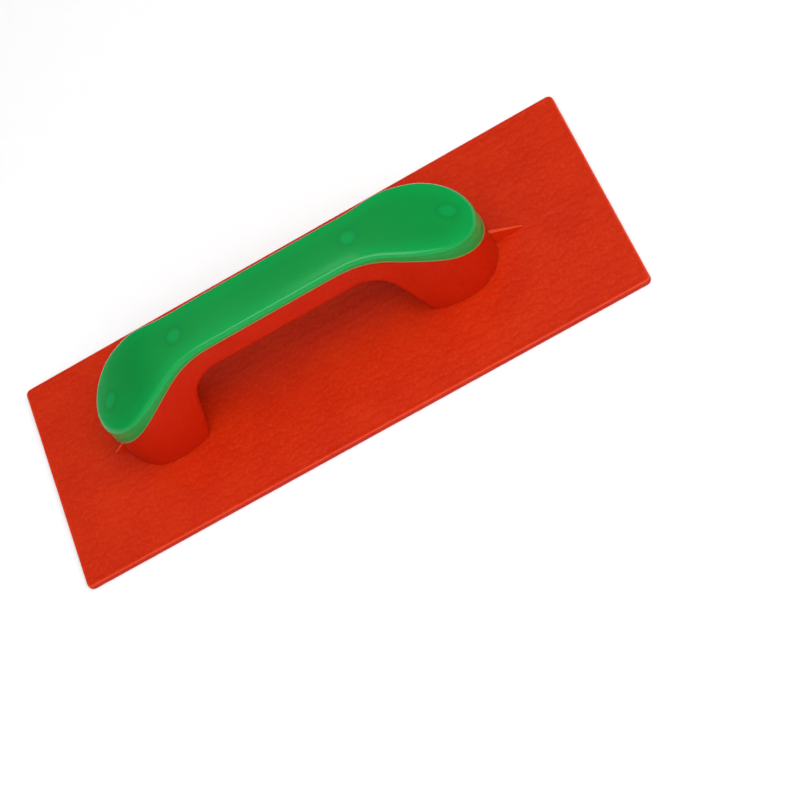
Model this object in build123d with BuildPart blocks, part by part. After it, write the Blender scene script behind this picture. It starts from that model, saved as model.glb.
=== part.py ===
"""Two-piece plastic plastering float: a flat board with a hollow bridge handle and a press-on grip cover.

Millimetres, +Z up. The origin is the centre of the flat working face, which lies in the plane Z = 0.
+X runs along the board. The board, handle frame, gussets and pegs are regions of one moulding;
the grip cover and its sockets are the other.
"""
from build123d import *
import os
from math import atan2, cos, degrees, radians, sin, tan

# ---- driving dimensions -------------------------------------------------------------------------
board_length = 270.0
board_width = 110.0
board_thickness = 3.0
board_corner_radius = 2.6
board_top_round = 0.9
board_bottom_round = 0.35

handle_shift = -6.0  # the handle stands this far from the board's centre, towards the heel
handle_half_length = 90.8
end_radius = 19.0
waist_half_width = 11.9
waist_half_length = 34.5

crest_height = 52.7  # top of the grip cover above the board
crest_half_length = 30.0  # level middle stretch of the crest
crest_arc_radius = 75.0
crest_fall_angle = 29.5

cover_depth = 4.0  # depth of the cover's skirt at the middle, crest to seam
seam_height = crest_height - cover_depth
seam_half_length = 27.2  # level middle stretch of the seam, which falls faster than the crest
seam_arc_radius = 64.0
seam_fall_angle = 35.5
cover_overhang = 0.4
cover_edge_round = 2.0
wall = 2.2
lap_depth = 3.0  # the cover's inner lip reaches this far below the seam
lap_gap = 0.1
lap_wall = wall / 2

gap_half_length = 55.0  # finger gap, along the board's top
gap_height = 34.5
gap_side_slope = 16.4  # lean of the gap's sides, in degrees from upright
gap_corner_radius = 16.0
gap_edge_round = 3.0

toe_gusset_reach = 104.2  # tip of the gusset, from the handle's centre
toe_gusset_height = 8.0
heel_gusset_reach = 98.0
heel_gusset_height = 5.4
gusset_thickness = 1.7  # at the handle's end wall
gusset_tip_thickness = 0.7
gusset_tip_height = 0.3

peg_inner_position = 41.5
peg_outer_position = 81.5
peg_radius = 2.7
peg_shank_radius = 4.0
peg_engagement = 8.0
socket_radius = 4.3
socket_bore_radius = 2.75
socket_length = 10.0

# ---- worked-out values --------------------------------------------------------------------------
tall = crest_height + 10
clear_half_length = handle_half_length + 10
flare_run = handle_half_length - end_radius - waist_half_length
flare_rise = end_radius - waist_half_width
flare_turn = 2 * degrees(atan2(flare_rise, flare_run))
flare_radius = flare_run / (2 * sin(radians(flare_turn)))
peg_positions = [
    -peg_outer_position,
    -peg_inner_position,
    peg_inner_position,
    peg_outer_position,
]

# The handle's own planes: plan view on the board's top, and side view through the centre line.
handle_plan = Plane((handle_shift, 0, board_thickness))
handle_side = Plane((handle_shift, 0, board_thickness), x_dir=(1, 0, 0), z_dir=(0, -1, 0))


def crest_at(x):
    """Height of the crest above the board's top, at a distance x from the handle's centre."""
    run = abs(x) - crest_half_length
    if run <= 0:
        return crest_height
    arc_run = crest_arc_radius * sin(radians(crest_fall_angle))
    if run <= arc_run:
        return crest_height - crest_arc_radius + (crest_arc_radius**2 - run**2) ** 0.5
    arc_drop = crest_arc_radius * (1 - cos(radians(crest_fall_angle)))
    return crest_height - arc_drop - (run - arc_run) * tan(radians(crest_fall_angle))


def follows_crest(edge):
    """True for an edge that runs along the crest surface's rim, not across it."""
    middle = edge @ 0.5
    height = middle.Z - board_thickness
    across = abs((edge % 0.5).Y) > 0.99 and edge.geom_type == GeomType.LINE
    return abs(height - crest_at(middle.X - handle_shift)) < 0.01 and not across


def frames_the_gap(edge):
    """True for an edge that runs along either mouth of the finger gap, above the board."""
    middle = edge @ 0.5
    height = middle.Z - board_thickness
    inside = abs(middle.X - handle_shift) < gap_half_length and height < gap_height + 0.01
    return inside and height > 0.01 and abs((edge % 0.5).Y) < 0.99


def grip_plan(grow=0.0):
    """Plan outline of the handle: a straight waist that flares into two round ends."""
    with BuildLine() as outline:
        waist = Line((0, waist_half_width), (waist_half_length, waist_half_width))
        flare = JernArc(waist @ 1, (1, 0), flare_radius, flare_turn)
        shoulder = JernArc(flare @ 1, flare % 1, flare_radius, -flare_turn)
        JernArc(shoulder @ 1, (1, 0), end_radius, -90)
        mirror(about=Plane.YZ)
        mirror(about=Plane.XZ)
    make_face(outline.edges())
    if grow:
        offset(amount=grow, mode=Mode.REPLACE)


def below_curve(height, half_length, arc_radius, fall_angle, mode):
    """Side view of everything between the board's top and a curve: level, then an arc, then a slope."""
    fall_run = clear_half_length - half_length - arc_radius * sin(radians(fall_angle))
    with BuildLine() as outline:
        level = Line((0, height), (half_length, height))
        curve = JernArc(level @ 1, (1, 0), arc_radius, -fall_angle)
        fall = PolarLine(curve @ 1, fall_run / cos(radians(fall_angle)), -fall_angle)
        Polyline(fall @ 1, ((fall @ 1).X, 0), (0, 0))
        mirror(about=Plane.YZ)
    make_face(outline.edges(), mode=mode)


def below_crest(drop=0.0, mode=Mode.ADD):
    """Side view of everything between the board's top and the crest curve lowered by drop."""
    below_curve(crest_height - drop, crest_half_length, crest_arc_radius, crest_fall_angle, mode)


def below_seam(drop=0.0, mode=Mode.ADD):
    """Side view of everything between the board's top and the seam curve lowered by drop."""
    below_curve(seam_height - drop, seam_half_length, seam_arc_radius, seam_fall_angle, mode)


def finger_gap(skin=0.0, mode=Mode.ADD):
    """Side view of the gap under the grip, grown by the skin's thickness."""
    lean = radians(gap_side_slope)
    base_half = gap_half_length + skin / cos(lean)
    top_half = base_half - (gap_height + skin) * tan(lean)
    corners = [(-base_half, 0), (-top_half, gap_height + skin), (top_half, gap_height + skin), (base_half, 0)]
    with BuildLine() as outline:
        arch = FilletPolyline(*corners, radius=gap_corner_radius + skin)
        Line(arch @ 0, arch @ 1)
    make_face(outline.edges(), mode=mode)


# ---- board --------------------------------------------------------------------------------------
with BuildPart() as board:
    with BuildSketch():
        RectangleRounded(board_length, board_width, board_corner_radius)
    extrude(amount=board_thickness)
    fillet(board.faces().sort_by(Axis.Z)[-1].edges(), radius=board_top_round)
    fillet(board.faces().sort_by(Axis.Z)[0].edges(), radius=board_bottom_round)
board.part.label = "board"

# ---- handle frame: hollow bridge, open at the top, standing on the board --------------------------
with BuildPart() as frame_cavity:
    with BuildSketch(handle_side):
        below_crest()
        finger_gap(wall, mode=Mode.SUBTRACT)
    extrude(amount=board_width / 2, both=True)
    with BuildSketch(handle_plan):
        grip_plan(-wall)
    extrude(amount=tall, mode=Mode.INTERSECT)

with BuildPart() as lap_rebate:
    with BuildSketch(handle_side):
        below_crest()
        below_seam(lap_depth, mode=Mode.SUBTRACT)
    extrude(amount=board_width / 2, both=True)
    with BuildSketch(handle_plan):
        grip_plan(-lap_wall)
    extrude(amount=tall, mode=Mode.INTERSECT)

with BuildPart() as handle_frame:
    with BuildSketch(handle_side):
        below_seam()
        finger_gap(mode=Mode.SUBTRACT)
    extrude(amount=board_width / 2, both=True)
    with BuildSketch(handle_plan):
        grip_plan()
    extrude(amount=tall, mode=Mode.INTERSECT)
    fillet(handle_frame.edges().filter_by(frames_the_gap), radius=gap_edge_round)
    add(frame_cavity.part, mode=Mode.SUBTRACT)
    add(lap_rebate.part, mode=Mode.SUBTRACT)
handle_frame.part.label = "handle_frame"

# ---- gussets: one web at each end of the handle, on the centre line ------------------------------
with BuildPart() as handle_envelope:
    with BuildSketch(handle_plan):
        grip_plan()
    extrude(amount=tall)


def gusset(direction, reach, height):
    """Tapering web from the handle's end wall down to the board; direction is +1 toe, -1 heel."""
    root_run = handle_half_length - end_radius
    growth = (reach - root_run) / (reach - handle_half_length)
    root_height = gusset_tip_height + (height - gusset_tip_height) * growth
    root_half = (gusset_tip_thickness + (gusset_thickness - gusset_tip_thickness) * growth) / 2
    tip_half = gusset_tip_thickness / 2
    root = direction * root_run
    tip = direction * reach
    with BuildPart() as web:
        with BuildSketch(handle_side):
            with BuildLine():
                Polyline((root, 0), (tip, 0), (tip, gusset_tip_height), (root, root_height), close=True)
            make_face()
        extrude(amount=root_half, both=True)
        with BuildSketch(handle_plan):
            with BuildLine():
                Polyline((root, root_half), (tip, tip_half), (tip, -tip_half), (root, -root_half), close=True)
            make_face()
        extrude(amount=tall, mode=Mode.INTERSECT)
        add(handle_envelope.part, mode=Mode.SUBTRACT)
    return web.part


toe_gusset = gusset(1, toe_gusset_reach, toe_gusset_height)
toe_gusset.label = "toe_gusset"
heel_gusset = gusset(-1, heel_gusset_reach, heel_gusset_height)
heel_gusset.label = "heel_gusset"

# ---- frame pegs: four stepped posts inside the handle, standing on its floor or on the board ------
with BuildPart() as frame_pegs:
    for position in peg_positions:
        socket_mouth = crest_at(position) - wall - socket_length
        with BuildSketch(handle_plan):
            with Locations((position, 0)):
                Circle(peg_shank_radius)
        extrude(amount=socket_mouth)
        with BuildSketch(handle_plan):
            with Locations((position, 0)):
                Circle(peg_radius)
        extrude(amount=socket_mouth + peg_engagement)
    add(frame_cavity.part, mode=Mode.INTERSECT)
frame_pegs.part.label = "frame_pegs"

# ---- grip cover: shell with a skirt and an inner lip, pressed down over the frame -----------------
with BuildPart() as cover_cavity:
    with BuildSketch(handle_side):
        below_crest(wall)
    extrude(amount=board_width / 2, both=True)
    with BuildSketch(handle_plan):
        grip_plan(-wall)
    extrude(amount=tall, mode=Mode.INTERSECT)

with BuildPart() as cover_lip:
    with BuildSketch(handle_side):
        below_crest(wall)
        below_seam(lap_depth - lap_gap, mode=Mode.SUBTRACT)
    extrude(amount=board_width / 2, both=True)
    with BuildSketch(handle_plan):
        grip_plan(-lap_wall - lap_gap)
    extrude(amount=tall, mode=Mode.INTERSECT)
    with BuildSketch(handle_plan):
        grip_plan(-wall)
    extrude(amount=tall, mode=Mode.SUBTRACT)

with BuildPart() as grip_cover:
    with BuildSketch(handle_side):
        below_crest()
        below_seam(mode=Mode.SUBTRACT)
    extrude(amount=board_width / 2, both=True)
    with BuildSketch(handle_plan):
        grip_plan(cover_overhang)
    extrude(amount=tall, mode=Mode.INTERSECT)
    fillet(grip_cover.edges().filter_by(follows_crest), radius=cover_edge_round)
    add(cover_cavity.part, mode=Mode.SUBTRACT)
    add(cover_lip.part)
grip_cover.part.label = "grip_cover"

# ---- cover sockets: four tubes under the cover's skin, each gripping one peg ----------------------
with BuildPart() as cover_sockets:
    for position in peg_positions:
        socket_mouth = crest_at(position) - wall - socket_length
        with BuildSketch(handle_plan.offset(socket_mouth)):
            with Locations((position, 0)):
                Circle(socket_radius)
                Circle(socket_bore_radius, mode=Mode.SUBTRACT)
        extrude(amount=tall)
    add(cover_cavity.part, mode=Mode.INTERSECT)
cover_sockets.part.label = "cover_sockets"

# ---- one STEP file per node ----------------------------------------------------------------------
os.makedirs("parts", exist_ok=True)
export_step(board.part, "parts/board.step")
export_step(handle_frame.part, "parts/handle_frame.step")
export_step(toe_gusset, "parts/toe_gusset.step")
export_step(heel_gusset, "parts/heel_gusset.step")
export_step(frame_pegs.part, "parts/frame_pegs.step")
export_step(grip_cover.part, "parts/grip_cover.step")
export_step(cover_sockets.part, "parts/cover_sockets.step")
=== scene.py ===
"""Looks for the plastic plastering float: a dimpled translucent body and a green press-on grip cover."""
import bmesh
import bpy
import math
from mathutils import Matrix, Vector


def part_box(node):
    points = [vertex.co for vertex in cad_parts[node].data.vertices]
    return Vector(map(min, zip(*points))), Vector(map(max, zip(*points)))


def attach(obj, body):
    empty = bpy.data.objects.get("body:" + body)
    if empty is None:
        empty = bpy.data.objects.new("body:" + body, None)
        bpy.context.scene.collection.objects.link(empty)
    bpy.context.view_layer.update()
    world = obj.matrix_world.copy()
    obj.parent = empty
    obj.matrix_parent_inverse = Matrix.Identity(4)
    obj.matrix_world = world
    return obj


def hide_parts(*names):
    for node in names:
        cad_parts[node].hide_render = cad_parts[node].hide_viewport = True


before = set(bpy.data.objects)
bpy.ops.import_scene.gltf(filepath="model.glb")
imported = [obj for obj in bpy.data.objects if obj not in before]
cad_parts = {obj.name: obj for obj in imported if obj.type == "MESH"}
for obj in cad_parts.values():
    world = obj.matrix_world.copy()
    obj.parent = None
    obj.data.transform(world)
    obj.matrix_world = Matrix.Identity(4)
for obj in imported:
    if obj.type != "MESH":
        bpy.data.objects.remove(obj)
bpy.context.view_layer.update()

MM = 0.001
QUARTER_TURN = math.pi / 2

# ---- places read from the frame ------------------------------------------------------------------
board_low, board_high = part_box("board")
cover_low, cover_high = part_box("grip_cover")
HANDLE_X = (cover_low.x + cover_high.x) / 2
COVER_HALF_LENGTH = (cover_high.x - cover_low.x) / 2
COVER_END_RADIUS = (cover_high.y - cover_low.y) / 2
BOARD_TOP = board_high.z

MERGE_DISTANCE = 0.001 * MM

# ---- grip cover: the same curves as the CAD cover ------------------------------------------------
COVER_WAIST_HALF = 12.3 * MM
WAIST_HALF_LENGTH = 34.5 * MM
SEAM_DROP = 4.0 * MM
# A curve is (height of its level part, half length of that part, arc radius, slope after the arc).
CREST_CURVE = (cover_high.z, 30.0 * MM, 75.0 * MM, math.radians(29.5))
SEAM_CURVE = (cover_high.z - SEAM_DROP, 27.2 * MM, 64.0 * MM, math.radians(35.5))
COVER_EDGE = 2.0 * MM
COVER_WALL = 2.2 * MM
COVER_INSIDE = 2.6 * MM
LIP_INSET = 1.6 * MM
LIP_DEPTH = 2.9 * MM
COVER_CROWN = 0.5 * MM
BEAD_RADIUS = 0.2 * MM
SOCKET_PLACES = (41.5 * MM, 81.5 * MM)
SOCKET_RADIUS = 4.3 * MM
CEILING_SHARES = (1.0, 0.66, 0.33, 0.0)

# ---- board ---------------------------------------------------------------------------------------
BOARD_CORNER = 2.6 * MM
BOARD_TOP_ROUND = 0.9 * MM
BOARD_BOTTOM_ROUND = 0.35 * MM
BOARD_FLAT_MARGIN = 1.2 * MM
BOARD_SIDE_RING = 0.42 * BOARD_TOP
GRID_STEP = 0.6 * MM
SCALE_LENGTH = 9.6 * MM
SCALE_WIDTH = 10.0 * MM
SCALE_RELIEF = 0.30 * MM
SCALE_RISE = 2.6 * MM
SCALE_GROOVE = 1.6 * MM
SCALE_GROOVE_SHARE = 0.30
SCALE_SOFTNESS = 0.45 * MM
SCALE_FADE = 2.0 * MM
SCALE_ROW_SHIFTS = (0.0, 0.5)
CENTRE_LINE_HEIGHT = 0.10 * MM
CENTRE_LINE_HALF_WIDTH = 0.9 * MM

# ---- red plastic: linear colours, and the share of each that is mixed in -------------------------
# A cloud is the two colours that a piece's base drifts between.
BOARD_CLOUD = ((0.51, 0.016, 0.001), (0.56, 0.022, 0.001))
# The handle's cloud is deeper than the board's: painted shade on the handle's sides.
HANDLE_SHADED_CLOUD = ((0.49, 0.011, 0.001), (0.53, 0.014, 0.001))
# The gussets' cloud is paler than the board's: a painted glow of light through the thin ribs.
GUSSET_GLOW_CLOUD = ((0.62, 0.022, 0.001), (0.66, 0.028, 0.002))
BOARD_HAZE = 0.24
HANDLE_HAZE = 0.10
GUSSET_HAZE = 0.16
FLECK_COLOUR = (0.80, 0.100, 0.025)
STREAK_COLOUR = (0.80, 0.110, 0.035)
STREAK_SHARE = 0.35
BUBBLE_COLOUR = (0.85, 0.16, 0.07)
BUBBLE_SHARE = 0.35
BUBBLE_DENSITY = 24
BUBBLE_SIZE = 0.018
BUBBLE_HEIGHT = 0.2 * MM
# Paler red of wear and a painted highlight along the board's rim, and of a painted highlight on the
# gussets' upward ridges.
WEAR_AND_HIGHLIGHT_COLOUR = (0.84, 0.120, 0.045)
WEAR_AND_HIGHLIGHT_SHARE = 0.40
# Paler red in the deep places of the board's relief: painted glints on the dimples.
DIMPLE_GLINT_COLOUR = (0.78, 0.075, 0.012)
DIMPLE_GLINT_SHARE = 0.18
# Deeper red down the board's side: painted shade.
SIDE_SHADE_COLOUR = (0.38, 0.006, 0.0005)
SIDE_SHADE_SHARE = 0.6
BODY_GRAIN_HEIGHT = 0.03 * MM
SCRATCH_HEIGHT = 0.02 * MM

# ---- green plastic: linear colours, and the share of each that is mixed in -----------------------
GREEN_CLOUD = ((0.002, 0.250, 0.042), (0.003, 0.275, 0.049))
# Purer, brighter green near the cover's edges: a painted highlight.
EDGE_HIGHLIGHT_GREEN = (0.001, 0.325, 0.062)
EDGE_HIGHLIGHT_GREEN_SHARE = 0.7
SOCKET_GREEN = (0.001, 0.34, 0.080)
SOCKET_GREEN_SHARE = 0.55
RING_GREEN = (0.001, 0.20, 0.048)
RING_GREEN_SHARE = 0.40
# Browner, darker green down the skirt towards the seam: painted shade and painted red bounce light.
SKIRT_SHADE_AND_BOUNCE_BROWN = (0.02, 0.10, 0.006)
SKIRT_SHADE_AND_BOUNCE_SHARE = 0.38
BEAD_BROWN = (0.30, 0.165, 0.032)
SKIRT_MATT = 0.25
COVER_GRAIN_HEIGHT = 0.02 * MM

# ---- both plastics -------------------------------------------------------------------------------
PLASTIC_IOR = 1.49
# A translucency is (specular level, subsurface weight, reach of red, green and blue, scale).
BODY_TRANSLUCENCY = (0.12, 0.5, (1.0, 0.25, 0.10), 1.6 * MM)
COVER_TRANSLUCENCY = (0.30, 0.3, (0.1, 1.0, 0.25), 2.0 * MM)

# ---- studio --------------------------------------------------------------------------------------
LIGHT_DISTANCE = 1.6
# A softbox is (name, direction it shines from, length along X, width, power).
SOFTBOXES = (
    ("overhead", (0.28, -0.34, 0.90), 1.8, 1.8, 22.5),
    ("strip", (0.05, -0.42, 0.90), 1.3, 0.24, 2.6),
    ("window", (0.02, 0.42, 0.90), 0.50, 0.15, 0.36),
)
# The sky's brightness is a sum of ramps: (direction, from and to along it, brightness at each end).
SKY_RAMPS = (
    ((0, -0.5, 0.85), 0.0, 0.70, 0.10, 0.62),
    ((0, 0, 1), 0.02, 0.15, 0.72, 0.0),
)
FLOOR_HALF = 1.5
FLOOR_DROP = 0.02 * MM
FLOOR_GREYS = ((0.94, 0.94, 0.94), (0.955, 0.955, 0.955))
FLOOR_ROUGHNESS = 0.75

# ---- camera: the photograph's viewing angle ------------------------------------------------------
CAMERA_AZIMUTH = math.radians(13.3)
CAMERA_ELEVATION = math.radians(55.3)
CAMERA_ROLL = math.radians(39.9)
CAMERA_PLACE = Vector((0.1398, -0.5543, 0.7550))
CAMERA_LENS = 99.0


# ---- meshes --------------------------------------------------------------------------------------
def new_object(name, vertices, faces):
    """A flat-shaded mesh object in the scene."""
    mesh = bpy.data.meshes.new(name)
    mesh.from_pydata(vertices, [], faces)
    mesh.update()
    piece = bpy.data.objects.new(name, mesh)
    bpy.context.scene.collection.objects.link(piece)
    return piece


def set_attribute(piece, name, values):
    """Stores one number per point on a piece, for its material to read."""
    piece.data.attributes.new(name, "FLOAT", "POINT").data.foreach_set("value", values)


def clean(piece):
    """Merges coincident points, drops faces with no area, turns normals outwards and shades smoothly."""
    shape = bmesh.new()
    shape.from_mesh(piece.data)
    bmesh.ops.remove_doubles(shape, verts=shape.verts, dist=MERGE_DISTANCE)
    bmesh.ops.dissolve_degenerate(shape, edges=shape.edges, dist=MERGE_DISTANCE)
    bmesh.ops.recalc_face_normals(shape, faces=shape.faces)
    shape.to_mesh(piece.data)
    shape.free()
    piece.data.shade_smooth()


# ---- grip cover ----------------------------------------------------------------------------------
def curve_z(curve, x):
    """Height above the working face of a curve that is level, then an arc, then a slope, at x."""
    height, level_half, arc, fall = curve
    run = max(0.0, abs(x - HANDLE_X) - level_half)
    arc_run = arc * math.sin(fall)
    if run <= arc_run:
        return height - arc + math.sqrt(arc**2 - run**2)
    return height - arc * (1 - math.cos(fall)) - (run - arc_run) * math.tan(fall)


def quarter_outline():
    """Points from the middle of the waist to the tip of one end: (x, y, normal x, normal y, spine x)."""
    spine_end = COVER_HALF_LENGTH - COVER_END_RADIUS
    flare_run = spine_end - WAIST_HALF_LENGTH
    flare_rise = COVER_END_RADIUS - COVER_WAIST_HALF
    turn = 2 * math.atan2(flare_rise, flare_run)
    radius = flare_run / (2 * math.sin(turn))
    points = []
    waist_steps, flare_steps, end_steps = 24, 10, 26
    for i in range(waist_steps):
        x = WAIST_HALF_LENGTH * i / waist_steps
        points.append((x, COVER_WAIST_HALF, 0.0, 1.0, x))
    for i in range(flare_steps):
        a = turn * i / flare_steps
        x = WAIST_HALF_LENGTH + radius * math.sin(a)
        points.append((x, COVER_WAIST_HALF + radius * (1 - math.cos(a)), -math.sin(a), math.cos(a), x))
    for i in range(flare_steps):
        a = turn * (1 - i / flare_steps)
        x = spine_end - radius * math.sin(a)
        points.append((x, COVER_END_RADIUS - radius * (1 - math.cos(a)), -math.sin(a), math.cos(a), x))
    for i in range(end_steps + 1):
        a = QUARTER_TURN * i / end_steps
        points.append((
            spine_end + COVER_END_RADIUS * math.sin(a),
            COVER_END_RADIUS * math.cos(a),
            math.sin(a),
            math.cos(a),
            spine_end,
        ))
    return points


def full_outline():
    """The whole outline, as a closed loop of quarter_outline's points."""
    quarter = quarter_outline()
    half = quarter + [(x, -y, nx, -ny, s) for x, y, nx, ny, s in reversed(quarter[:-1])]
    other = [(-x, y, -nx, ny, -s) for x, y, nx, ny, s in reversed(half[1:-1])]
    return half + other


def cover_rings():
    """The cover's section as rings: (share of the way out, inset, drop, share of the skirt, lift)."""
    rings = []
    top_steps, edge_steps, skirt_steps, bead_steps = 12, 8, 8, 6
    for i in range(top_steps + 1):
        share = i / top_steps
        rings.append((share, COVER_EDGE, COVER_CROWN * share**2, 0.0, 0.0))
    for i in range(1, edge_steps + 1):
        a = QUARTER_TURN * i / edge_steps
        drop = COVER_CROWN + COVER_EDGE * (1 - math.cos(a))
        rings.append((1.0, COVER_EDGE * (1 - math.sin(a)), drop, 0.0, 0.0))
    skirt_top = COVER_CROWN + COVER_EDGE
    for i in range(1, skirt_steps + 1):
        down = i / skirt_steps
        rings.append((1.0, 0.0, skirt_top, down, 2 * BEAD_RADIUS * down))
    for i in range(1, bead_steps + 1):
        a = math.pi * i / bead_steps
        rings.append((1.0, -BEAD_RADIUS * math.sin(a), 0.0, 1.0, BEAD_RADIUS * (1 + math.cos(a))))
    rings.append((1.0, LIP_INSET, 0.0, 1.0, 0.0))
    rings.append((1.0, LIP_INSET, 0.0, 1.0, -LIP_DEPTH))
    rings.append((1.0, COVER_INSIDE, 0.0, 1.0, -LIP_DEPTH))
    for share in CEILING_SHARES:
        rings.append((share, COVER_INSIDE, COVER_WALL, 0.0, 0.0))
    return rings


def make_cover():
    """Closed shell of the grip cover, with attributes for its skirt, its edge and its bead."""
    loop = full_outline()
    rings = cover_rings()
    vertices, down, inward, bead = [], [], [], []
    for share, inset, drop, skirt, lift in rings:
        for x, y, nx, ny, spine in loop:
            edge_x, edge_y = x - nx * inset, y - ny * inset
            px = HANDLE_X + spine + (edge_x - spine) * share
            crest = curve_z(CREST_CURVE, px) - drop
            seam = curve_z(SEAM_CURVE, px)
            vertices.append((px, edge_y * share, crest + (seam - crest) * skirt + lift))
            down.append(skirt)
            inward.append((math.hypot(x - spine, y) * (1 - share) + inset * share) / COVER_END_RADIUS)
            bead.append(1.0 if inset < 0 else 0.0)
    count = len(loop)
    faces = []
    for r in range(len(rings) - 1):
        for i in range(count):
            j = (i + 1) % count
            faces.append((r * count + i, r * count + j, (r + 1) * count + j, (r + 1) * count + i))
    piece = new_object("grip_cover_shell", vertices, faces)
    set_attribute(piece, "down", down)
    set_attribute(piece, "inward", inward)
    set_attribute(piece, "bead", bead)
    clean(piece)
    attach(piece, "root")
    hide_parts("grip_cover")
    return piece


# ---- board ---------------------------------------------------------------------------------------
def scale_depth(x, y):
    """Depth of the fish-scale pattern: 0 along a scale's rounded rim, and deepest just past it."""
    to_rim = SCALE_WIDTH
    past_rim = SCALE_WIDTH
    for shift in SCALE_ROW_SHIFTS:
        off = x / SCALE_LENGTH - shift
        off -= round(off)
        rim = SCALE_RISE * math.sqrt(1 - 4 * off * off) + shift * SCALE_WIDTH
        to_rim = min(to_rim, (rim - y) % SCALE_WIDTH)
        past_rim = min(past_rim, (y - rim) % SCALE_WIDTH)
    groove = max(0.0, 1 - past_rim / SCALE_GROOVE)
    return to_rim / SCALE_WIDTH + SCALE_GROOVE_SHARE * groove


def soft_scale_depth(x, y):
    """The scale pattern with its steps worn soft."""
    total = 0.0
    for shift_x, shift_y in ((-1, -1), (-1, 1), (1, -1), (1, 1)):
        total += scale_depth(x + shift_x * SCALE_SOFTNESS, y + shift_y * SCALE_SOFTNESS)
    return total / 4


def board_top_z(depth, y, to_edge):
    """Height of the board's top: the scales, faded out at the rim, and the fine line down the middle."""
    fade = min(1.0, max(0.0, to_edge / SCALE_FADE))
    line = max(0.0, 1 - abs(y) / CENTRE_LINE_HALF_WIDTH)
    return BOARD_TOP - (SCALE_RELIEF * depth + CENTRE_LINE_HEIGHT * (1 - line)) * fade


def rounded_place(u, v, half_x, half_y, radius):
    """Maps a place in a square grid onto a rectangle with round corners: (x, y)."""
    x, y = u * half_x, v * half_y
    over_x, over_y = abs(x) - (half_x - radius), abs(y) - (half_y - radius)
    if over_x > 0 and over_y > 0:
        scale = max(over_x, over_y) / math.hypot(over_x, over_y)
        x = math.copysign(half_x - radius + over_x * scale, x)
        y = math.copysign(half_y - radius + over_y * scale, y)
    return x, y


def outward(x, y, corner_x, corner_y):
    """Direction straight out of the board's rim, at a place on it."""
    over_x, over_y = abs(x) - corner_x, abs(y) - corner_y
    if over_x > 0 and over_y > 0:
        length = math.hypot(over_x, over_y)
        return math.copysign(over_x / length, x), math.copysign(over_y / length, y)
    if over_x > over_y:
        return math.copysign(1.0, x), 0.0
    return 0.0, math.copysign(1.0, y)


def board_side():
    """The rim's section below the dimpled top: (distance out from it, height, share of edge wear and
    painted highlight).
    """
    section = []
    round_steps, bottom_steps = 5, 3
    for i in range(1, round_steps + 1):
        a = QUARTER_TURN * i / round_steps
        section.append((
            BOARD_TOP_ROUND * math.sin(a),
            BOARD_TOP - BOARD_TOP_ROUND * (1 - math.cos(a)),
            math.sin(2 * a),
        ))
    section.append((BOARD_TOP_ROUND, BOARD_SIDE_RING, 0.0))
    for i in range(bottom_steps + 1):
        a = QUARTER_TURN * i / bottom_steps
        section.append((
            BOARD_TOP_ROUND - BOARD_BOTTOM_ROUND * (1 - math.cos(a)),
            BOARD_BOTTOM_ROUND * (1 - math.sin(a)),
            0.0,
        ))
    section.append((BOARD_TOP_ROUND - BOARD_BOTTOM_ROUND - BOARD_FLAT_MARGIN, 0.0, 0.0))
    return section


def board_grid(half_x, half_y, radius, columns, rows):
    """The dimpled top as a grid: its points, the depth of the scales at each, and its faces."""
    vertices, glint_depth, faces = [], [], []
    for j in range(rows + 1):
        for i in range(columns + 1):
            x, y = rounded_place(2 * i / columns - 1, 2 * j / rows - 1, half_x, half_y, radius)
            to_edge = min(half_x - abs(x), half_y - abs(y))
            depth = soft_scale_depth(x, y)
            vertices.append((x, y, board_top_z(depth, y, to_edge)))
            # The relief's depth, which also places the painted glints.
            glint_depth.append(depth)
    across = columns + 1
    for j in range(rows):
        for i in range(columns):
            a = j * across + i
            faces.append((a, a + 1, a + across + 1, a + across))
    return vertices, glint_depth, faces


def grid_rim(columns, rows):
    """Numbers of the grid's outermost points, once around."""
    across = columns + 1
    rim = list(range(columns))
    rim += [columns + j * across for j in range(rows)]
    rim += [rows * across + i for i in range(columns, 0, -1)]
    rim += [j * across for j in range(rows, 0, -1)]
    return rim


def make_board():
    """The board as one closed mesh: dimpled top, rounded rim, smooth flat working face."""
    half_x = (board_high.x - board_low.x) / 2 - BOARD_TOP_ROUND
    half_y = (board_high.y - board_low.y) / 2 - BOARD_TOP_ROUND
    radius = BOARD_CORNER - BOARD_TOP_ROUND
    columns = 2 * round(half_x / GRID_STEP)
    rows = 2 * round(half_y / GRID_STEP)
    vertices, glint_depth, faces = board_grid(half_x, half_y, radius, columns, rows)
    wear_and_painted_light = [0.0] * len(vertices)
    side = [0.0] * len(vertices)
    rim = grid_rim(columns, rows)
    count = len(rim)
    ring = rim
    for out, z, share in board_side():
        previous = ring
        ring = []
        for index in rim:
            x, y, _ = vertices[index]
            way_x, way_y = outward(x, y, half_x - radius, half_y - radius)
            ring.append(len(vertices))
            vertices.append((x + way_x * out, y + way_y * out, z))
        # The rim's mask for wear and a painted highlight.
        wear_and_painted_light += [share] * count
        glint_depth += [0.0] * count
        # The side's mask for painted shade.
        side += [1.0 if z < BOARD_TOP - BOARD_TOP_ROUND / 2 else 0.0] * count
        for i in range(count):
            j = (i + 1) % count
            faces.append((previous[i], ring[i], ring[j], previous[j]))
    faces.append(tuple(ring))
    piece = new_object("board_dimpled", vertices, faces)
    set_attribute(piece, "wear_and_painted_light", wear_and_painted_light)
    set_attribute(piece, "glint_depth", glint_depth)
    set_attribute(piece, "side", side)
    clean(piece)
    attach(piece, "root")
    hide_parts("board")
    return piece


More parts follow.
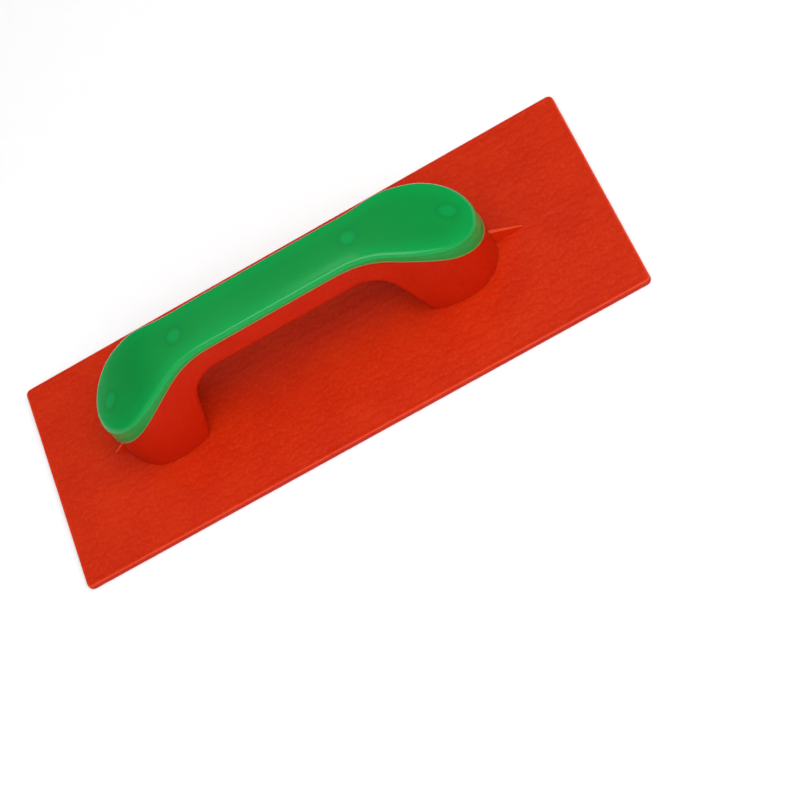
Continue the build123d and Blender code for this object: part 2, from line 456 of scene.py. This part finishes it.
# ---- materials -----------------------------------------------------------------------------------
class Nodes:
    """Short names for building one material's node tree."""

    def __init__(self, name):
        self.material = bpy.data.materials.new(name)
        self.material.use_nodes = True
        self.tree = self.material.node_tree
        self.shader = self.tree.nodes["Principled BSDF"]
        self.place = self.add("ShaderNodeTexCoord").outputs["Object"]

    def add(self, kind, **settings):
        """A new node with the given settings."""
        node = self.tree.nodes.new(kind)
        for key, value in settings.items():
            setattr(node, key, value)
        return node

    def put(self, socket, value):
        """Links an output to a socket, or sets the socket to a plain value."""
        if isinstance(value, bpy.types.NodeSocket):
            self.tree.links.new(value, socket)
        else:
            socket.default_value = value

    def split(self, vector):
        """The X, Y and Z of a vector, as named outputs."""
        node = self.add("ShaderNodeSeparateXYZ")
        self.put(node.inputs[0], vector)
        return node.outputs

    def math(self, operation, a, b=0.0):
        """One arithmetic step."""
        node = self.add("ShaderNodeMath", operation=operation)
        self.put(node.inputs[0], a)
        self.put(node.inputs[1], b)
        return node.outputs[0]

    def ramp(self, value, low, high, start=0.0, end=1.0):
        """Maps a value from the range low to high onto start to end, and no further."""
        node = self.add("ShaderNodeMapRange", clamp=True)
        self.put(node.inputs["Value"], value)
        node.inputs["From Min"].default_value = low
        node.inputs["From Max"].default_value = high
        node.inputs["To Min"].default_value = start
        node.inputs["To Max"].default_value = end
        return node.outputs[0]

    def noise(self, scale, detail, stretch=(1, 1, 1)):
        """Noise of about this many waves per metre, denser by stretch along each axis."""
        mapping = self.add("ShaderNodeMapping")
        self.put(mapping.inputs["Vector"], self.place)
        mapping.inputs["Scale"].default_value = stretch
        node = self.add("ShaderNodeTexNoise")
        self.put(node.inputs["Vector"], mapping.outputs[0])
        node.inputs["Scale"].default_value = scale
        node.inputs["Detail"].default_value = detail
        return node.outputs["Fac"]

    def patches(self, scale, detail, low, high, start=0.0, end=1.0, stretch=(1, 1, 1)):
        """Noise with its range low to high mapped onto start to end."""
        return self.ramp(self.noise(scale, detail, stretch), low, high, start, end)

    def spots(self, scale, size):
        """Small round spots, far apart: 1 inside a spot and 0 outside."""
        node = self.add("ShaderNodeTexVoronoi")
        self.put(node.inputs["Vector"], self.place)
        node.inputs["Scale"].default_value = scale
        return self.ramp(node.outputs["Distance"], size, size / 2)

    def mix(self, share, under, over):
        """A colour with a share of another laid over it."""
        node = self.add("ShaderNodeMix", data_type="RGBA")
        self.put(node.inputs["Factor"], share)
        self.put(node.inputs["A"], (*under, 1) if isinstance(under, tuple) else under)
        self.put(node.inputs["B"], (*over, 1) if isinstance(over, tuple) else over)
        return node.outputs["Result"]

    def part_mix(self, where, most, under, over):
        """A colour with at most this share of another laid over it, by where."""
        return self.mix(self.math("MULTIPLY", where, most), under, over)

    def attribute(self, name):
        """A number stored on the mesh."""
        return self.add("ShaderNodeAttribute", attribute_name=name).outputs["Fac"]

    def bump(self, height, distance, strength, normal=None):
        """A fine relief, over another one where it is given."""
        node = self.add("ShaderNodeBump")
        self.put(node.inputs["Height"], height)
        node.inputs["Distance"].default_value = distance
        node.inputs["Strength"].default_value = strength
        if normal is not None:
            self.put(node.inputs["Normal"], normal)
        return node.outputs["Normal"]

    def set_plastic(self, specular, weight, reach, scale):
        """Sets the shader's own sockets for a translucent plastic."""
        inputs = self.shader.inputs
        inputs["IOR"].default_value = PLASTIC_IOR
        inputs["Specular IOR Level"].default_value = specular
        inputs["Subsurface Weight"].default_value = weight
        inputs["Subsurface Radius"].default_value = reach
        inputs["Subsurface Scale"].default_value = scale


def board_wear_and_painted_light(n, colour):
    """The board's paler rim from wear and a painted highlight, painted glints in the deep places of its
    relief and painted shade down its side, over a colour.
    """
    # Patchy wear and a painted highlight along the rim's round.
    patchy = n.patches(scale=150, detail=3, low=0.25, high=0.75, start=0.55, end=1.0)
    rim = n.math("MULTIPLY", n.attribute("wear_and_painted_light"), patchy)
    colour = n.part_mix(rim, WEAR_AND_HIGHLIGHT_SHARE, colour, WEAR_AND_HIGHLIGHT_COLOUR)
    # Painted glints in the deep places of the relief.
    glint_depth = n.ramp(n.attribute("glint_depth"), low=0.40, high=0.85, end=DIMPLE_GLINT_SHARE)
    colour = n.mix(glint_depth, colour, DIMPLE_GLINT_COLOUR)
    # Painted shade down the board's side.
    return n.part_mix(n.attribute("side"), SIDE_SHADE_SHARE, colour, SIDE_SHADE_COLOUR)


def ridge_painted_highlight(n, colour):
    """A painted highlight on a gusset's ridge, where it looks upwards, over a colour."""
    facing = n.split(n.add("ShaderNodeNewGeometry").outputs["Normal"])
    # Painted highlight where the ridge faces upwards.
    ridge = n.ramp(facing["Z"], low=0.3, high=0.8)
    return n.part_mix(ridge, WEAR_AND_HIGHLIGHT_SHARE, colour, WEAR_AND_HIGHLIGHT_COLOUR)


def body_material(name, cloud, haze, wear_and_painted_light=None):
    """Translucent orange-red polypropylene: cloudy depth, flecks, bubbles, grain and scratches."""
    n = Nodes(name)
    colour = n.mix(n.patches(scale=42, detail=4, low=0.32, high=0.68), *cloud)
    fleck = n.patches(scale=700, detail=3, low=0.48, high=0.80, end=haze)
    colour = n.mix(fleck, colour, FLECK_COLOUR)
    streak_end = STREAK_SHARE * haze
    streak = n.patches(scale=24, detail=3, low=0.62, high=0.76, end=streak_end, stretch=(1, 30, 1))
    colour = n.mix(streak, colour, STREAK_COLOUR)
    bubble = n.spots(BUBBLE_DENSITY, BUBBLE_SIZE)
    colour = n.part_mix(bubble, BUBBLE_SHARE, colour, BUBBLE_COLOUR)
    # Wear and painted light from the given function: highlights, glints and shade.
    if wear_and_painted_light:
        colour = wear_and_painted_light(n, colour)
    n.put(n.shader.inputs["Base Color"], colour)
    gloss = n.patches(scale=240, detail=3, low=0.3, high=0.7, start=0.34, end=0.48)
    n.put(n.shader.inputs["Roughness"], gloss)
    relief = n.bump(n.noise(scale=1500, detail=2), BODY_GRAIN_HEIGHT, strength=0.4)
    scratches = n.noise(scale=60, detail=2, stretch=(1, 40, 1))
    relief = n.bump(scratches, SCRATCH_HEIGHT, strength=0.3, normal=relief)
    relief = n.bump(bubble, BUBBLE_HEIGHT, strength=0.8, normal=relief)
    n.put(n.shader.inputs["Normal"], relief)
    n.set_plastic(*BODY_TRANSLUCENCY)
    return n.material


def socket_distance(n):
    """Distance from a place on the cover to the nearest socket's axis, in metres."""
    place = n.split(n.place)
    along = n.math("ABSOLUTE", n.math("SUBTRACT", place["X"], HANDLE_X))
    across = n.math("MULTIPLY", place["Y"], place["Y"])
    distances = []
    for socket_place in SOCKET_PLACES:
        off = n.math("SUBTRACT", along, socket_place)
        distances.append(n.math("SQRT", n.math("ADD", n.math("MULTIPLY", off, off), across)))
    return n.math("MINIMUM", *distances)


def cover_material():
    """Green polypropylene: purer over its sockets, purer and brighter over its edges as a painted
    highlight, and browner towards the seam as painted shade and painted red bounce light.
    """
    n = Nodes("cover_green")
    gap = socket_distance(n)
    disc = n.ramp(gap, low=SOCKET_RADIUS * 0.80, high=SOCKET_RADIUS * 0.50)
    ring_in = n.ramp(gap, low=SOCKET_RADIUS * 0.66, high=SOCKET_RADIUS * 0.96)
    ring_out = n.ramp(gap, low=SOCKET_RADIUS * 1.25, high=SOCKET_RADIUS)
    ring = n.math("MULTIPLY", ring_in, ring_out)
    # A painted highlight near the cover's edges.
    edge_highlight = n.ramp(n.attribute("inward"), low=0.42, high=0.10)
    # Painted shade and painted red bounce light down the skirt.
    skirt = n.ramp(n.attribute("down"), low=0.30, high=1.0)
    colour = n.mix(n.patches(scale=30, detail=2, low=0.35, high=0.65), *GREEN_CLOUD)
    colour = n.part_mix(edge_highlight, EDGE_HIGHLIGHT_GREEN_SHARE, colour, EDGE_HIGHLIGHT_GREEN)
    colour = n.part_mix(disc, SOCKET_GREEN_SHARE, colour, SOCKET_GREEN)
    colour = n.part_mix(ring, RING_GREEN_SHARE, colour, RING_GREEN)
    colour = n.part_mix(skirt, SKIRT_SHADE_AND_BOUNCE_SHARE, colour, SKIRT_SHADE_AND_BOUNCE_BROWN)
    colour = n.mix(n.attribute("bead"), colour, BEAD_BROWN)
    n.put(n.shader.inputs["Base Color"], colour)
    matt = n.math("MULTIPLY", n.ramp(n.attribute("down"), low=0.15, high=0.5), SKIRT_MATT)
    gloss = n.patches(scale=160, detail=3, low=0.3, high=0.7, start=0.10, end=0.15)
    n.put(n.shader.inputs["Roughness"], n.math("ADD", matt, gloss))
    grain = n.bump(n.noise(scale=1100, detail=2), COVER_GRAIN_HEIGHT, strength=0.15)
    n.put(n.shader.inputs["Normal"], grain)
    n.set_plastic(*COVER_TRANSLUCENCY)
    return n.material


def paint(piece, material):
    """Gives a piece one material, through its material slots where it already has them."""
    if not piece.material_slots:
        piece.data.materials.append(material)
    for material_slot in piece.material_slots:
        material_slot.material = material


# ---- studio --------------------------------------------------------------------------------------
def make_camera():
    """The camera at the photograph's viewing angle, rolled as the photograph is."""
    back = Vector((
        math.sin(CAMERA_AZIMUTH) * math.cos(CAMERA_ELEVATION),
        -math.cos(CAMERA_AZIMUTH) * math.cos(CAMERA_ELEVATION),
        math.sin(CAMERA_ELEVATION),
    ))
    data = bpy.data.cameras.new("camera")
    data.lens = CAMERA_LENS
    camera = bpy.data.objects.new("camera", data)
    camera.rotation_mode = "QUATERNION"
    roll = Matrix.Rotation(-CAMERA_ROLL, 3, "Z").to_quaternion()
    camera.rotation_quaternion = (-back).to_track_quat("-Z", "Y") @ roll
    camera.location = CAMERA_PLACE
    bpy.context.scene.collection.objects.link(camera)
    bpy.context.scene.camera = camera


def make_light(name, direction, length, width, power):
    """A rectangular softbox that looks at the handle from the given direction, its length along X."""
    data = bpy.data.lights.new(name, "AREA")
    data.shape = "RECTANGLE"
    data.size = length
    data.size_y = width
    data.energy = power
    lamp = bpy.data.objects.new(name, data)
    towards = Vector(direction).normalized()
    lamp.location = Vector((HANDLE_X, 0, BOARD_TOP)) + towards * LIGHT_DISTANCE
    lamp.rotation_mode = "QUATERNION"
    lamp.rotation_quaternion = (-towards).to_track_quat("-Z", "Y")
    bpy.context.scene.collection.objects.link(lamp)


def make_sky():
    """A white dome: brightest high up on the near side, with a pale glow along the horizon."""
    world = bpy.data.worlds.new("studio")
    world.use_nodes = True
    tree = world.node_tree
    sky = tree.nodes["Background"]
    sky.inputs["Color"].default_value = (1, 1, 1, 1)
    direction = tree.nodes.new("ShaderNodeTexCoord")
    total = tree.nodes.new("ShaderNodeMath")
    total.operation = "ADD"
    tree.links.new(sky.inputs["Strength"], total.outputs["Value"])
    for index, (towards, low, high, start, end) in enumerate(SKY_RAMPS):
        height = tree.nodes.new("ShaderNodeVectorMath")
        height.operation = "DOT_PRODUCT"
        height.inputs[1].default_value = towards
        ramp = tree.nodes.new("ShaderNodeMapRange")
        ramp.inputs["From Min"].default_value = low
        ramp.inputs["From Max"].default_value = high
        ramp.inputs["To Min"].default_value = start
        ramp.inputs["To Max"].default_value = end
        tree.links.new(height.inputs[0], direction.outputs["Generated"])
        tree.links.new(ramp.inputs["Value"], height.outputs["Value"])
        tree.links.new(total.inputs[index], ramp.outputs["Result"])
    bpy.context.scene.world = world


def make_floor():
    """The plain pale floor, just under the working face."""
    half = FLOOR_HALF
    corners = [(-half, -half, 0), (half, -half, 0), (half, half, 0), (-half, half, 0)]
    floor = new_object("floor", corners, [(0, 1, 2, 3)])
    floor.location.z = -FLOOR_DROP
    n = Nodes("floor_paper")
    shade = n.patches(scale=90, detail=3, low=0.3, high=0.7)
    n.put(n.shader.inputs["Base Color"], n.mix(shade, *FLOOR_GREYS))
    n.shader.inputs["Roughness"].default_value = FLOOR_ROUGHNESS
    paint(floor, n.material)


def make_studio():
    """The floor, the sky and the three softboxes, in plain unfiltered colour."""
    make_floor()
    make_sky()
    for softbox in SOFTBOXES:
        make_light(*softbox)
    bpy.context.scene.view_settings.view_transform = "Standard"


make_camera()
board = make_board()
cover = make_cover()
board_red = body_material("board_red", BOARD_CLOUD, BOARD_HAZE, board_wear_and_painted_light)
# The handle's deeper copy of the red: painted shade on its sides.
handle_red_shaded = body_material("handle_red_shaded", HANDLE_SHADED_CLOUD, HANDLE_HAZE)
# The gussets' paler copy of the red: a painted glow of light through the thin ribs.
gusset_red_glow = body_material("gusset_red_glow", GUSSET_GLOW_CLOUD, GUSSET_HAZE, ridge_painted_highlight)
green = cover_material()
paint(board, board_red)
paint(cover, green)
paint(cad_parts["cover_sockets"], green)
for node in ("handle_frame", "frame_pegs"):
    paint(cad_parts[node], handle_red_shaded)
for node in ("toe_gusset", "heel_gusset"):
    paint(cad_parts[node], gusset_red_glow)
make_studio()
